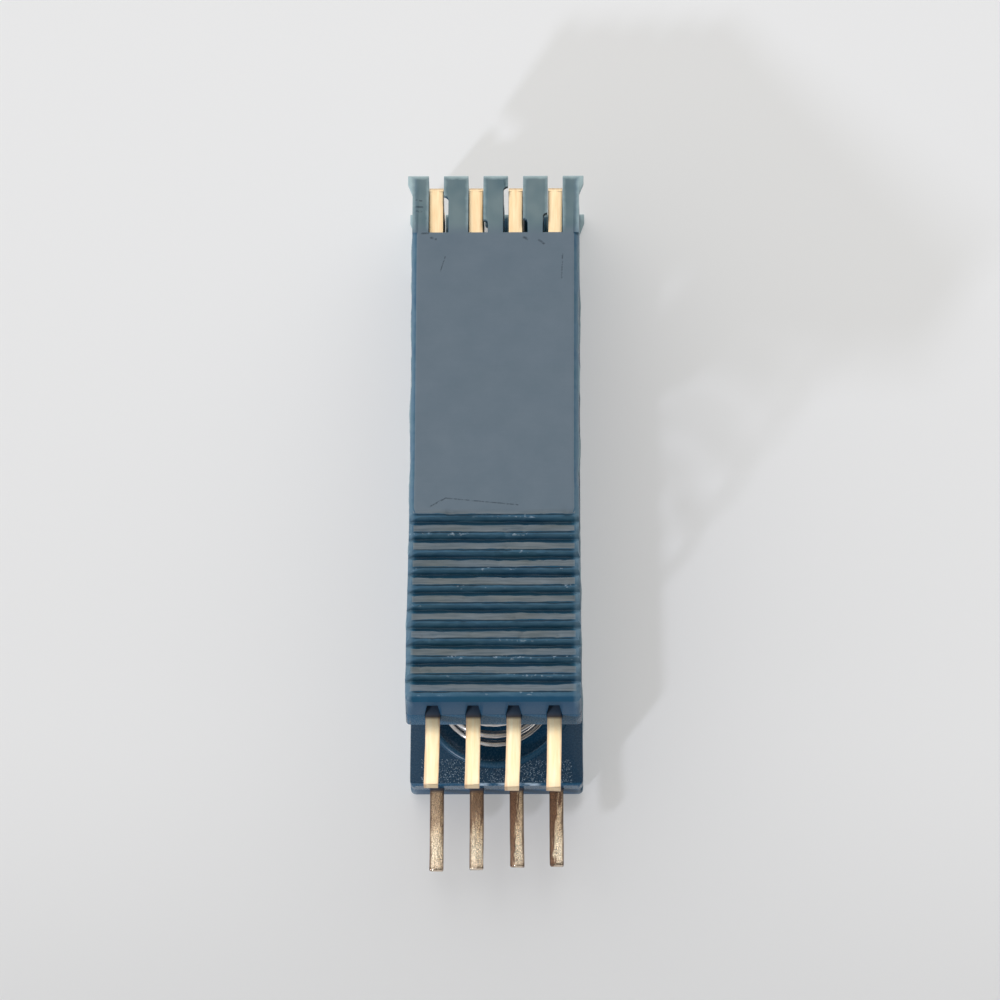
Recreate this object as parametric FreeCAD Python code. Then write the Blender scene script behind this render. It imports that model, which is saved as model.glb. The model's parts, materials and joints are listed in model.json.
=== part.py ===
import FreeCAD, Part
import math
import os

Vec = FreeCAD.Vector

# Spring-loaded test clip for an 8-lead dual in-line chip, lying on its rear half.
# Millimetres, +Y to the jaw, +Z up. The origin lies on the rear half's outer face, under the hinge.

# The chip that the clip fits
LEAD_PITCH = 2.54
LEADS_PER_ROW = 4

# One half, measured in its own frame: outer face on z = 0, hinge above y = 0
HALF_LENGTH = 38.2
HALF_WIDTH = 10.66
HALF_THICKNESS = 3.6
SHELL_FLOOR = 2.2
HINGE_FROM_TIP = 19.1
WEDGE_ANGLE = 17.5
JAW_GAP = 0.6
EDGE_RADIUS = 0.4
GRIP_FLARE = 0.18
GRIP_FLARE_LENGTH = 16.0
END_CORNER_RADIUS = 0.35

# Grip ribs, counted from the grip end
RIB_COUNT = 10
RIB_PITCH = 1.27
RIB_FLAT = 0.47
GROOVE_DEPTH = 0.4
GROOVE_FLOOR = 0.08
RIB_EDGE_RADIUS = 0.08
END_CHAMFER = 0.5

# Comb of the jaw
FINGER_LENGTH = 4.3
FINGER_THICKNESS = 3.2
FLARE_LENGTH = 0.6
FLARE_TAPER = 0.8
FINGER_FLARE = 0.3
LIP_THICKNESS = 0.35
SLOT_RELIEF = 0.3
SLOT_RELIEF_LENGTHS = ((0, 2.8), (0, 1.0), (3.5, 1.1), (1.5, 0))
LEAD_IN_DEPTH = 0.9
LEAD_IN_SPREAD = 0.3
NOSE_DROP = 0.12
COMB_ROOT = 1.3

# Contact blades, stamped from sheet and standing on edge
BLADE_SHEET = 0.9
BLADE_RUN = 0.55
BLADE_PIN_LENGTH = 5.1
BLADE_TIP_SETBACK = 0.4
BLADE_OUTER_RECESS = 0.65
BLADE_SHOULDER = 0.35
BLADE_TIP_RADIUS = 0.5
BLADE_NOSE_RADIUS = 0.9
BLADE_NOSE_PROUD = 0.25
BLADE_HEEL = 2.0
BLADE_FIT = 0.03
PIN_NOTCH_DEPTH = 1.5
PIN_NOTCH_HEIGHT = 1.2
PIN_NOTCH_TAPER = 0.15

# Inner plate and what it carries
PLATE_FIT = 0.03
PLATE_END_CHAMFER = 0.12
POCKET_CLEARANCE = 0.6
POCKET_DEPTH = 0.45
POCKET_BEAD_RADIUS = 0.25
POCKET_BEAD_SETBACK = 0.2
POCKET_FROM_END = 6.0
STOP_FROM_TIP = 9.5
STOP_LENGTH = 3.0
STOP_WIDTH = 6.0
STOP_GAP = 0.03

# Hinge
PIN_RADIUS = 0.75
PIN_HELD_CLEARANCE = 0.01
PIN_RUNNING_CLEARANCE = 0.03
EAR_RADIUS = 2.0
EAR_THICKNESS = 1.2
EAR_OUTER_EDGE = 4.7
EAR_GAP = 0.15

# Grip spring
SPRING_DIAMETER = 7.7
WIRE_DIAMETER = 0.5
SPRING_TURNS = 6
END_CROWDING = 0.3
SEAT_GAP = 0.06
GAP_SAMPLES_PER_TURN = 48

# Places worked out from the sizes above
HALF_ANGLE = math.radians(WEDGE_ANGLE / 2)
COS_HALF = math.cos(HALF_ANGLE)
SIN_HALF = math.sin(HALF_ANGLE)
SIDE = HALF_WIDTH / 2
TIP_Y = HINGE_FROM_TIP
END_Y = HINGE_FROM_TIP - HALF_LENGTH
SLOT_Y = TIP_Y - FINGER_LENGTH
ROOT_Y = SLOT_Y - COMB_ROOT
HINGE_Z = FINGER_THICKNESS + JAW_GAP / 2 / COS_HALF + HINGE_FROM_TIP * math.tan(HALF_ANGLE)
SLOT_WIDTH = BLADE_SHEET + 2 * BLADE_FIT
BLADE_INNER_Z = SHELL_FLOOR + BLADE_RUN
POCKET_FLOOR_Z = HALF_THICKNESS - POCKET_DEPTH
POCKET_RADIUS = SPRING_DIAMETER / 2 + POCKET_CLEARANCE
SPRING_Y = END_Y + POCKET_FROM_END
SPRING_RADIUS = (SPRING_DIAMETER - WIRE_DIAMETER) / 2
OVERCUT = 1.0


def lead_places():
    """Sideways places of one row of leads, from left to right."""
    first = -LEAD_PITCH * (LEADS_PER_ROW - 1) / 2
    return [first + LEAD_PITCH * index for index in range(LEADS_PER_ROW)]


def block(x0, x1, y0, y1, z0, z1):
    """Straight block between two corners."""
    return Part.makeBox(x1 - x0, y1 - y0, z1 - z0, Vec(x0, y0, z0))


def prism(points, travel):
    """Solid from a closed outline of points, pushed along a vector."""
    return Part.Face(Part.makePolygon(points + [points[0]])).extrude(travel)


def side_prism(outline, x0, x1):
    """Solid from a (y, z) outline, running across the clip."""
    return prism([Vec(x0, y, z) for y, z in outline], Vec(x1 - x0, 0, 0))


def arc_between(start, centre, end):
    """Short circular arc from start to end about a centre."""
    middle = (start - centre) + (end - centre)
    middle.normalize()
    radius = (start - centre).Length
    return Part.Arc(start, centre + middle * radius, end).toShape()


def line_between(start, end):
    """Straight edge."""
    return Part.LineSegment(start, end).toShape()


def grip_outline(front_y):
    """Plan of a half from its front edge back to its round-cornered grip end."""
    flared = SIDE + GRIP_FLARE
    r = END_CORNER_RADIUS
    flare_y = END_Y + GRIP_FLARE_LENGTH
    front_right = Vec(SIDE, front_y, 0)
    flare_right = Vec(SIDE, flare_y, 0)
    side_right = Vec(flared, END_Y + r, 0)
    end_right = Vec(flared - r, END_Y, 0)
    end_left = Vec(r - flared, END_Y, 0)
    side_left = Vec(-flared, END_Y + r, 0)
    flare_left = Vec(-SIDE, flare_y, 0)
    front_left = Vec(-SIDE, front_y, 0)
    edges = [line_between(front_right, flare_right), line_between(flare_right, side_right)]
    edges.append(arc_between(side_right, Vec(flared - r, END_Y + r, 0), end_right))
    edges.append(line_between(end_right, end_left))
    edges.append(arc_between(end_left, Vec(r - flared, END_Y + r, 0), side_left))
    edges += [line_between(side_left, flare_left), line_between(flare_left, front_left)]
    edges.append(line_between(front_left, front_right))
    return Part.Face(Part.Wire(edges))


def finger_flares():
    """Thin lips that stand out sideways from the end fingers' tips, level with the outer face."""
    wide_y = TIP_Y - FLARE_LENGTH
    outline = [(0, wide_y - FLARE_TAPER), (FINGER_FLARE, wide_y), (FINGER_FLARE, TIP_Y), (-FINGER_FLARE, TIP_Y)]
    outline.append((-FINGER_FLARE, wide_y - FLARE_TAPER))
    travel = Vec(0, 0, LIP_THICKNESS)
    return [prism([Vec(side * (SIDE + x), y, 0) for x, y in outline], travel) for side in (-1, 1)]


def relief_tool(x, side, length):
    """Cut that widens a slot on one side right through, from its root up to a round crown."""
    near = x + side * SLOT_WIDTH / 2
    far = near + side * SLOT_RELIEF
    bend_y = SLOT_Y + length - SLOT_RELIEF
    root = Vec(x, SLOT_Y, -OVERCUT)
    far_root = Vec(far, SLOT_Y, -OVERCUT)
    far_bend = Vec(far, bend_y, -OVERCUT)
    crown = Vec(near, SLOT_Y + length, -OVERCUT)
    inner_crown = Vec(x, SLOT_Y + length, -OVERCUT)
    edges = [line_between(root, far_root), line_between(far_root, far_bend)]
    edges.append(arc_between(far_bend, Vec(near, bend_y, -OVERCUT), crown))
    edges += [line_between(crown, inner_crown), line_between(inner_crown, root)]
    return Part.Face(Part.Wire(edges)).extrude(Vec(0, 0, FINGER_THICKNESS + 2 * OVERCUT))


def under_lip_gap(x, side):
    """Cut that widens a slot on one side all the way to the tip, under a lip at the outer face."""
    far = x + side * (SLOT_WIDTH / 2 + SLOT_RELIEF)
    return block(min(x, far), max(x, far), SLOT_Y, TIP_Y + OVERCUT, LIP_THICKNESS, FINGER_THICKNESS + OVERCUT)


def slot_cuts(x, relief_lengths):
    """Everything cut from the comb for one contact blade, with its reliefs on the left and right."""
    half = SLOT_WIDTH / 2
    top = FINGER_THICKNESS + OVERCUT
    past_tip = TIP_Y + OVERCUT
    lead_in_z = FINGER_THICKNESS - LEAD_IN_DEPTH
    slope = LEAD_IN_SPREAD / LEAD_IN_DEPTH
    mouth = half + LEAD_IN_SPREAD + slope * OVERCUT
    run_slot = block(x - half, x + half, ROOT_Y - OVERCUT, past_tip, SHELL_FLOOR, top)
    head_pocket = block(x - half, x + half, ROOT_Y + BLADE_FIT, past_tip, BLADE_OUTER_RECESS - BLADE_FIT, top)
    through_slot = block(x - half, x + half, SLOT_Y, past_tip, -OVERCUT, top)
    cuts = [run_slot, head_pocket, through_slot]
    for side, length in zip((-1, 1), relief_lengths):
        if length:
            cuts += [relief_tool(x, side, length), under_lip_gap(x, side)]
    lead_in = [Vec(x - half, SLOT_Y, lead_in_z), Vec(x + half, SLOT_Y, lead_in_z)]
    lead_in += [Vec(x + mouth, SLOT_Y, top), Vec(x - mouth, SLOT_Y, top)]
    cuts.append(prism(lead_in, Vec(0, past_tip - SLOT_Y, 0)))
    return cuts


def pin_notch(x):
    """Opening in the grip end on the outer side of a pin, narrower away from it."""
    half = SLOT_WIDTH / 2
    narrow = half - PIN_NOTCH_TAPER
    low = SHELL_FLOOR - PIN_NOTCH_HEIGHT
    high = SHELL_FLOOR + OVERCUT
    outline = [(x - narrow, low), (x + narrow, low), (x + half, SHELL_FLOOR), (x + half, high)]
    outline += [(x - half, high), (x - half, SHELL_FLOOR)]
    start_y = END_Y - OVERCUT
    return prism([Vec(px, start_y, pz) for px, pz in outline], Vec(0, PIN_NOTCH_DEPTH + OVERCUT, 0))


def groove_tool(y):
    """Vee cut across the grip, flared out again at its lips so that the rib edges come out round."""
    opening = (RIB_PITCH - RIB_FLAT) / 2
    floor = GROOVE_FLOOR / 2
    slope = math.atan2(GROOVE_DEPTH, opening - floor)
    setback = RIB_EDGE_RADIUS * math.tan(slope / 2)
    low_y = opening - setback * math.cos(slope)
    low_z = setback * math.sin(slope)
    wide = SIDE + GRIP_FLARE + OVERCUT

    def at(offset, z):
        return Vec(-wide, y + offset, z)

    edges = []
    for side in (-1, 1):
        lip = at(side * (opening + setback), 0)
        centre = at(side * (opening + setback), RIB_EDGE_RADIUS)
        shoulder = at(side * low_y, low_z)
        edges.append(line_between(at(side * (opening + setback), -OVERCUT), lip))
        edges.append(arc_between(lip, centre, shoulder))
        edges.append(line_between(shoulder, at(side * floor, GROOVE_DEPTH)))
    edges.append(line_between(at(-floor, GROOVE_DEPTH), at(floor, GROOVE_DEPTH)))
    edges.append(line_between(at(-opening - setback, -OVERCUT), at(opening + setback, -OVERCUT)))
    outline = Part.Wire(Part.__sortEdges__(edges))
    return Part.Face(outline).extrude(Vec(2 * wide, 0, 0))


def rib_grooves():
    """Grooves that leave the flat-topped grip ribs, and the slope at the grip end."""
    first_groove = END_Y + END_CHAMFER + RIB_FLAT + (RIB_PITCH - RIB_FLAT) / 2
    cuts = [groove_tool(first_groove + RIB_PITCH * index) for index in range(RIB_COUNT)]
    reach = END_CHAMFER + OVERCUT
    wide = SIDE + GRIP_FLARE + OVERCUT
    end_slope = [(END_Y - OVERCUT, reach), (END_Y - OVERCUT, -OVERCUT), (END_Y + reach, -OVERCUT)]
    cuts.append(side_prism(end_slope, -wide, wide))
    return cuts


def edge_rounds():
    """Cuts that round the outer face's long edges behind the comb, straight and then along the flare."""
    flare_y = END_Y + GRIP_FLARE_LENGTH
    flare_run = GRIP_FLARE_LENGTH - END_CORNER_RADIUS
    flare = Vec(GRIP_FLARE, -flare_run, 0) * ((flare_run + OVERCUT) / flare_run)
    cuts = []
    for side in (-1, 1):
        for start_y, travel in ((SLOT_Y, Vec(0, flare_y - SLOT_Y, 0)), (flare_y, flare)):
            top = Vec(side * (SIDE - EDGE_RADIUS), start_y, 0)
            foot = Vec(side * SIDE, start_y, EDGE_RADIUS)
            centre = Vec(side * (SIDE - EDGE_RADIUS), start_y, EDGE_RADIUS)
            out_foot = foot + Vec(side * OVERCUT, 0, 0)
            out_top = Vec(out_foot.x, start_y, -OVERCUT)
            over_top = Vec(top.x, start_y, -OVERCUT)
            edges = [arc_between(top, centre, foot), line_between(foot, out_foot)]
            edges += [line_between(out_foot, out_top), line_between(out_top, over_top)]
            edges.append(line_between(over_top, top))
            cuts.append(Part.Face(Part.Wire(edges)).extrude(Vec(side * travel.x, travel.y, 0)))
    return cuts


def nose_taper():
    """Wedge that lets the fingers' outer faces fall away towards their tips."""
    wide = SIDE + FINGER_FLARE + OVERCUT
    slope = NOSE_DROP / FINGER_LENGTH
    past_tip = TIP_Y + OVERCUT
    outline = [(SLOT_Y, 0), (past_tip, NOSE_DROP + slope * OVERCUT), (past_tip, -OVERCUT), (SLOT_Y, -OVERCUT)]
    return side_prism(outline, -wide, wide)


def make_shell():
    """Outer moulding: ribbed grip, flat panel, and the comb, which stands up in front of the inner plate."""
    grip = grip_outline(ROOT_Y).extrude(Vec(0, 0, SHELL_FLOOR))
    comb = block(-SIDE, SIDE, ROOT_Y, TIP_Y, 0, FINGER_THICKNESS)
    shell = grip.fuse([comb] + finger_flares()).removeSplitter()
    cuts = rib_grooves() + edge_rounds() + [nose_taper()]
    for x, relief_lengths in zip(lead_places(), reversed(SLOT_RELIEF_LENGTHS)):
        cuts += slot_cuts(x, tuple(reversed(relief_lengths))) + [pin_notch(x)]
    return shell.cut(cuts).removeSplitter()


def make_ear(x0):
    """One hinge ear rising from the inner plate, before its pin hole is bored."""
    foot = block(x0, x0 + EAR_THICKNESS, -EAR_RADIUS, EAR_RADIUS, BLADE_INNER_Z + BLADE_FIT, HINGE_Z)
    eye = Part.makeCylinder(EAR_RADIUS, EAR_THICKNESS, Vec(x0, 0, HINGE_Z), Vec(1, 0, 0))
    return foot.fuse(eye)


def make_stop():
    """Pad whose sloping top meets its twin on the clip's middle plane when the jaw is shut."""
    far = TIP_Y - STOP_FROM_TIP
    near = far - STOP_LENGTH
    low = STOP_GAP / 2 / COS_HALF
    middle = [HINGE_Z - y * math.tan(HALF_ANGLE) - low for y in (near, far)]
    base = POCKET_FLOOR_Z
    outline = [(near, base), (far, base), (far, middle[1]), (near, middle[0])]
    return side_prism(outline, -STOP_WIDTH / 2, STOP_WIDTH / 2)


def make_inner_plate(pin_clearance):
    """Inner moulding: covers the blades and carries the ears, the stop and the spring's beaded pocket."""
    plate = grip_outline(ROOT_Y - PLATE_FIT).extrude(Vec(0, 0, HALF_THICKNESS - SHELL_FLOOR))
    plate.translate(Vec(0, 0, SHELL_FLOOR))
    ears = [make_ear(-EAR_OUTER_EDGE), make_ear(EAR_OUTER_EDGE - 2 * EAR_THICKNESS - EAR_GAP)]
    bead_place = Vec(0, SPRING_Y, HALF_THICKNESS)
    bead = Part.makeTorus(POCKET_RADIUS + POCKET_BEAD_SETBACK, POCKET_BEAD_RADIUS, bead_place, Vec(0, 0, 1))
    plate = plate.fuse(ears + [make_stop(), bead]).removeSplitter()
    reach = PLATE_END_CHAMFER + OVERCUT
    top = HALF_THICKNESS + OVERCUT
    slope = [(END_Y - OVERCUT, top - reach - OVERCUT), (END_Y - OVERCUT, top), (END_Y + reach, top)]
    cuts = [side_prism(slope, -HALF_WIDTH, HALF_WIDTH)]
    cuts.append(Part.makeCylinder(POCKET_RADIUS, POCKET_DEPTH + OVERCUT, Vec(0, SPRING_Y, POCKET_FLOOR_Z)))
    bore = PIN_RADIUS + pin_clearance
    cuts.append(Part.makeCylinder(bore, HALF_WIDTH, Vec(-SIDE, 0, HINGE_Z), Vec(1, 0, 0)))
    groove = SLOT_WIDTH / 2
    roof = BLADE_INNER_Z + BLADE_FIT
    for x in lead_places():
        cuts.append(block(x - groove, x + groove, END_Y - OVERCUT, ROOT_Y, SHELL_FLOOR - OVERCUT, roof))
    return plate.cut(cuts).removeSplitter()


def make_blade(x):
    """One contact: flat pin, long run under the plate, and a hooked head in its jaw slot."""
    pin_y = END_Y - BLADE_PIN_LENGTH
    tip_y = TIP_Y - BLADE_TIP_SETBACK
    head_y = ROOT_Y + 2 * BLADE_FIT
    nose_z = FINGER_THICKNESS + BLADE_NOSE_PROUD
    nose_y = tip_y - BLADE_NOSE_RADIUS
    left = x - BLADE_SHEET / 2

    def at(y, z):
        return Vec(left, y, z)

    outer = [at(pin_y, BLADE_INNER_Z), at(pin_y, SHELL_FLOOR), at(head_y, SHELL_FLOOR)]
    outer.append(at(head_y + BLADE_SHOULDER, BLADE_OUTER_RECESS))
    outer.append(at(tip_y - BLADE_TIP_RADIUS, BLADE_OUTER_RECESS))
    tip_low = at(tip_y, BLADE_OUTER_RECESS + BLADE_TIP_RADIUS)
    tip_high = at(tip_y, nose_z - BLADE_NOSE_RADIUS)
    nose = at(nose_y, nose_z)
    heel = at(nose_y - BLADE_HEEL, BLADE_INNER_Z)
    edges = [line_between(start, end) for start, end in zip(outer, outer[1:])]
    tip_centre = at(tip_y - BLADE_TIP_RADIUS, BLADE_OUTER_RECESS + BLADE_TIP_RADIUS)
    edges.append(arc_between(outer[-1], tip_centre, tip_low))
    edges.append(line_between(tip_low, tip_high))
    edges.append(arc_between(tip_high, at(nose_y, nose_z - BLADE_NOSE_RADIUS), nose))
    edges += [line_between(nose, heel), line_between(heel, outer[0])]
    return Part.Face(Part.Wire(edges)).extrude(Vec(BLADE_SHEET, 0, 0))


def spring_point(turn):
    """Centre of the wire after a number of turns, fanned between the two tilted seats."""
    angle = 2 * math.pi * turn
    seat_y = SPRING_Y + SPRING_RADIUS * math.sin(angle)
    seat_z = POCKET_FLOOR_Z + WIRE_DIAMETER / 2 + SEAT_GAP - HINGE_Z
    along = seat_y * COS_HALF - seat_z * SIN_HALF
    off_middle = seat_y * SIN_HALF + seat_z * COS_HALF
    share = turn / SPRING_TURNS
    share -= END_CROWDING / (2 * math.pi) * math.sin(2 * math.pi * share)
    off_middle *= 1 - 2 * share
    y = along * COS_HALF + off_middle * SIN_HALF
    z = HINGE_Z - along * SIN_HALF + off_middle * COS_HALF
    return Vec(SPRING_RADIUS * math.cos(angle), y, z)


def spring_heading(turn):
    """Unit direction of the wire after a number of turns."""
    step = 0.001
    heading = spring_point(turn + step) - spring_point(turn - step)
    return heading.normalize()


def tangent_arc(start, corner, end):
    """Arc that leaves start towards the corner and reaches end coming from it."""
    chord = (start + end) * 0.5
    to_corner = corner - chord
    half_chord = (end - start).Length / 2
    rise = to_corner.Length
    leg = math.hypot(rise, half_chord)
    bulge = half_chord * (leg - half_chord) / rise
    return Part.Arc(start, chord + to_corner.normalize() * bulge, end).toShape()


def biarc(start, start_heading, end, end_heading):
    """Two arcs that join two points with the given headings."""
    span = end - start
    total = start_heading + end_heading
    spread = 2 * (1 - start_heading.dot(end_heading))
    lean = span.dot(total)
    reach = (math.sqrt(lean * lean + spread * span.dot(span)) - lean) / spread
    first = start + start_heading * reach
    second = end - end_heading * reach
    joint = (first + second) * 0.5
    return [tangent_arc(start, first, joint), tangent_arc(joint, second, end)]


def least_wire_gap():
    """Smallest free gap between neighbouring turns, measured on points of the wire."""
    count = SPRING_TURNS * GAP_SAMPLES_PER_TURN
    points = [spring_point(index / GAP_SAMPLES_PER_TURN) for index in range(count + 1)]
    apart = GAP_SAMPLES_PER_TURN // 2
    nearest = min((a - b).Length for i, a in enumerate(points) for b in points[i + apart:])
    return nearest - WIRE_DIAMETER


def make_spring():
    """Compression spring between the two grips, one unbroken tube with straight wire ends."""
    quarters = 4 * SPRING_TURNS
    turns = [index / 4 for index in range(quarters + 1)]
    points = [spring_point(turn) for turn in turns]
    headings = [spring_heading(turn) for turn in turns]
    tail = points[0] - headings[0] * WIRE_DIAMETER
    edges = [line_between(tail, points[0])]
    for index in range(quarters):
        edges += biarc(points[index], headings[index], points[index + 1], headings[index + 1])
    edges.append(line_between(points[-1], points[-1] + headings[-1] * WIRE_DIAMETER))
    path = Part.Wire(edges)
    section = Part.Wire(Part.makeCircle(WIRE_DIAMETER / 2, tail, headings[0]))
    spring = Part.Solid(path.makePipeShell([section], True, False))
    expected = math.pi * WIRE_DIAMETER ** 2 / 4 * path.Length
    print("spring volume %.3f mm3, section times length %.3f mm3" % (abs(spring.Volume), expected))
    print("least gap between turns %.3f mm" % least_wire_gap())
    return spring


def make_pin():
    """Straight hinge pin, flush with the outermost ears."""
    return Part.makeCylinder(PIN_RADIUS, 2 * EAR_OUTER_EDGE, Vec(-EAR_OUTER_EDGE, 0, HINGE_Z), Vec(1, 0, 0))


def to_front(shape):
    """Turn a piece of the rear half over to its place in the front half."""
    turned = shape.copy()
    turned.rotate(Vec(0, 0, HINGE_Z), Vec(0, COS_HALF, -SIN_HALF), 180)
    return turned


def make_parts():
    """Every piece of the clip by name."""
    parts = {}
    parts["rear_shell"] = make_shell()
    parts["rear_inner_plate"] = make_inner_plate(PIN_HELD_CLEARANCE)
    parts["front_shell"] = to_front(make_shell())
    parts["front_inner_plate"] = to_front(make_inner_plate(PIN_RUNNING_CLEARANCE))
    for number, x in enumerate(lead_places(), start=1):
        parts["rear_contact_%d" % number] = make_blade(x)
        parts["front_contact_%d" % number] = to_front(make_blade(-x))
    parts["hinge_pin"] = make_pin()
    parts["grip_spring"] = make_spring()
    return parts


def main():
    os.makedirs("parts", exist_ok=True)
    for name, shape in make_parts().items():
        shape.exportStep("parts/%s.step" % name)
        print("%-18s solids %d  valid %s  volume %.2f mm3" % (
            name, len(shape.Solids), shape.isValid(), abs(shape.Volume)))


main()
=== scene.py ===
"""Looks of a spring-loaded test clip for an 8-lead chip, lying on a pale bench top."""

import json
import math

import bmesh
import bpy
from mathutils import Matrix, Vector
from mathutils.noise import noise as cloud_at


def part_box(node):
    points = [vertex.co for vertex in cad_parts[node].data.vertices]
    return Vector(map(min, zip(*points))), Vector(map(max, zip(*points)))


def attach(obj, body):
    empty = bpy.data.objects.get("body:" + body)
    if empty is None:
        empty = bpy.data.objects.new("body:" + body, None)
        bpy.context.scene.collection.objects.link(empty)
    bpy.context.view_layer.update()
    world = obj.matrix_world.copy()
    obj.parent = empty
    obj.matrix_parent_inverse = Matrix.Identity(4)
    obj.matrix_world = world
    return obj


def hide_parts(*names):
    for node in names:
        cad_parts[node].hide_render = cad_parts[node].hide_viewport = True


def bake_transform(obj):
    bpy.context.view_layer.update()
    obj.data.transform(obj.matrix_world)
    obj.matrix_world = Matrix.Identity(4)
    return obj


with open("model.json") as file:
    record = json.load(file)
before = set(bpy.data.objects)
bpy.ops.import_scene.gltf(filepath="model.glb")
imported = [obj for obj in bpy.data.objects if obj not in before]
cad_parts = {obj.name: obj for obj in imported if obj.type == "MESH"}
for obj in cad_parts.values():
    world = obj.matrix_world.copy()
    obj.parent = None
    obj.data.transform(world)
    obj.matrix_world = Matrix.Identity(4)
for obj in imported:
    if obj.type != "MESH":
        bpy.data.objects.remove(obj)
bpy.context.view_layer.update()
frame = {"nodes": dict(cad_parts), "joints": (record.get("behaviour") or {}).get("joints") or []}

MM = 0.001

# Where the clip lies in the frame
HINGE = Vector(frame["joints"][0]["pos_m"])
WEDGE = math.radians(17.5)
MIDDLE_NORMAL = Vector((0, math.sin(WEDGE / 2), math.cos(WEDGE / 2)))

# One half in its own frame, in millimetres: outer face on z = 0, jaw towards +y
END_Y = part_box("rear_inner_plate")[0].y / MM
TIP_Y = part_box("rear_shell")[1].y / MM
HALF_THICKNESS = 3.6
SIDE = 5.33
GRIP_FLARE = 0.18
GRIP_FLARE_LENGTH = 16.0
EDGE_RADIUS = 0.4
FINGER_LENGTH = 4.3
SLOT_Y = TIP_Y - FINGER_LENGTH
LEAD_PITCH = 2.54
SLOT_HALF = 0.48
RIB_PITCH = 1.27
GROOVE_DEPTH = 0.4
FIRST_RIB_Y = END_Y + 0.735
LAST_GROOVE_Y = FIRST_RIB_Y + 9.5 * RIB_PITCH
SEAT_Y = END_Y + 6.0
BEAD_OUTSIDE = 4.9
PIN_LENGTH = 5.0

# Camera, fitted to the photograph's pins, ribs and end faces
CAMERA_DISTANCE = 671.5 * MM
CAMERA_TILT = math.radians(12.036)
CAMERA_SIDESTEP = math.radians(0.816)
CAMERA_TARGET = Vector((0.26, -1.035, 6.1)) * MM
CAMERA_LENS = 378.59
CAMERA_SENSOR = 36

# Light: a low key from the grip's left, and a room that is brightest beyond the jaw
KEY_TRAVEL = Vector((1.45, 1.8, -1.0))
KEY_STRENGTH = 1.17
KEY_TINT = (0.95, 0.99, 1.12)
KEY_ANGLE = math.radians(4)
ROOM_TINT = (1.0, 0.992, 0.968, 1.0)
ROOM_LEVEL = 0.42
ROOM_BEYOND_JAW = 1.0
ROOM_BEHIND_GRIP = -0.12
ROOM_TO_RIGHT = -0.3
ROOM_DARK_SPOT = 0.65
ROOM_OVERHEAD = 1.3
OVERHEAD_TILT = math.radians(14)
OVERHEAD_LEFT = -0.05
BENCH_GLOW = 0.29
BENCH_HALF = 1.5
BENCH_DROP = 0.01 * MM

# Soft cones of the room, in degrees: where they begin, and where they are full
DARK_SPOT_SPREAD = (16, 7)
OVERHEAD_SPREAD = (12, 6)

# Edge breaks on the finished pieces
MOULDED_EDGE = 0.03 * MM
SEAM_EDGE = 0.012 * MM
GROUND_EDGE = 0.05 * MM
STAMPED_EDGES = {"rear": 0.1 * MM, "front": 0.03 * MM}
SHARP_ANGLE = math.radians(32)
FLAT_ANGLE = math.radians(0.2)

# Cuts that let the surfaces wander, in millimetres: reach to each side, and steps
ACROSS_REACH = 5.35
ACROSS_STEP = 0.17
PANEL_STEP = 0.4
PIN_STEP = 0.25

# Depth of the finest relief
BLUE_RELIEF = 0.006 * MM
PLATE_RELIEF = 0.008 * MM
GOLD_RELIEF = 0.022 * MM
GROUND_RELIEF = 0.004 * MM

# Spring, wound between its two seats
WIRE = 0.5 * MM
SPRING_RADIUS = 3.6 * MM
SPRING_TURNS = 6
SPRING_SEAT_Z = 3.46 * MM
END_CROWDING = 0.3

# Grain on the inner plates: half width of its patch, and its start and end from the grip end
GRAIN_HALF = 4.8
GRAIN_START = 0.16
GRAIN_END = 1.7
GRAIN_DENSITY = 1.5e8
GRAIN_SIZE = 0.034 * MM
GRAIN_SEED = 12

# Flash along the long sides, painted pale, partly as light shining through the thin ridge
FLASH_STEP = 0.15 * MM
FLASH_HEIGHT = 0.4 * MM
FLASH_LUMPS = 420.0
FLASH_BROKEN = 0.44
FLASH_PALE = 0.6

# Wear of the ribs, in millimetres: size, waves per millimetre across and along, and level in the cloud
RIB_WANDER = (0.06, 0.55, 3.7, 0.5)
RIB_FINE_WANDER = (0.03, 2.3, 5.1, 7.5)
RIB_RISE = (0.03, 1.7, 4.3, 3.5)
RIB_NICKS = (1.0, 1.9, 6.7, 11.5)
NICK_LEVEL = 0.42
NICK_STEEPNESS = 0.4
NICK_DEPTH = 0.06

# Wear of the long sides: size, place across the cloud, and waves per millimetre along
SIDE_WANDER = ((0.05, 9.1, 0.7), (0.03, 5.3, 2.9))

# How each pin was sheared and bent: extra length, lean to the right, sag, and its share of painted brown
# reflection
PIN_WEAR = {
    "rear": ((0.24, -0.04, 0.13, 0.4), (0.14, -0.02, 0.16, 0.6),
             (0.0, 0.05, 0.2, 0.75), (-0.07, 0.02, 0.12, 0.9)),
    "front": ((-0.2, -0.08, 0.0, 0.0), (-0.15, -0.06, 0.0, 0.05),
              (0.0, -0.12, 0.0, 0.2), (0.05, -0.05, 0.0, 0.1)),
}
PIN_SWAY = 0.025
PIN_RIPPLE = 0.03
RAGGED_END = 0.06

# How far the pins of each half are hammered, and the least that the gold's finish allows
HAMMERED = {"rear": 1.0, "front": 0.0}
LEAST_BEATEN = 0.05

# Bands painted along one rib's pitch, most of them light and shade, as shares of it: middle, half width
# and soft edge
RIB_CREST_LINE = (0.79, 0.012, 0.028)
RIB_LIT_SCUFFS = (0.71, 0.04, 0.09)
RIB_FOOT_SHADE = (0.37, 0.15, 0.12)
RIB_GLINTS = (0.73, 0.035, 0.05)

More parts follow.
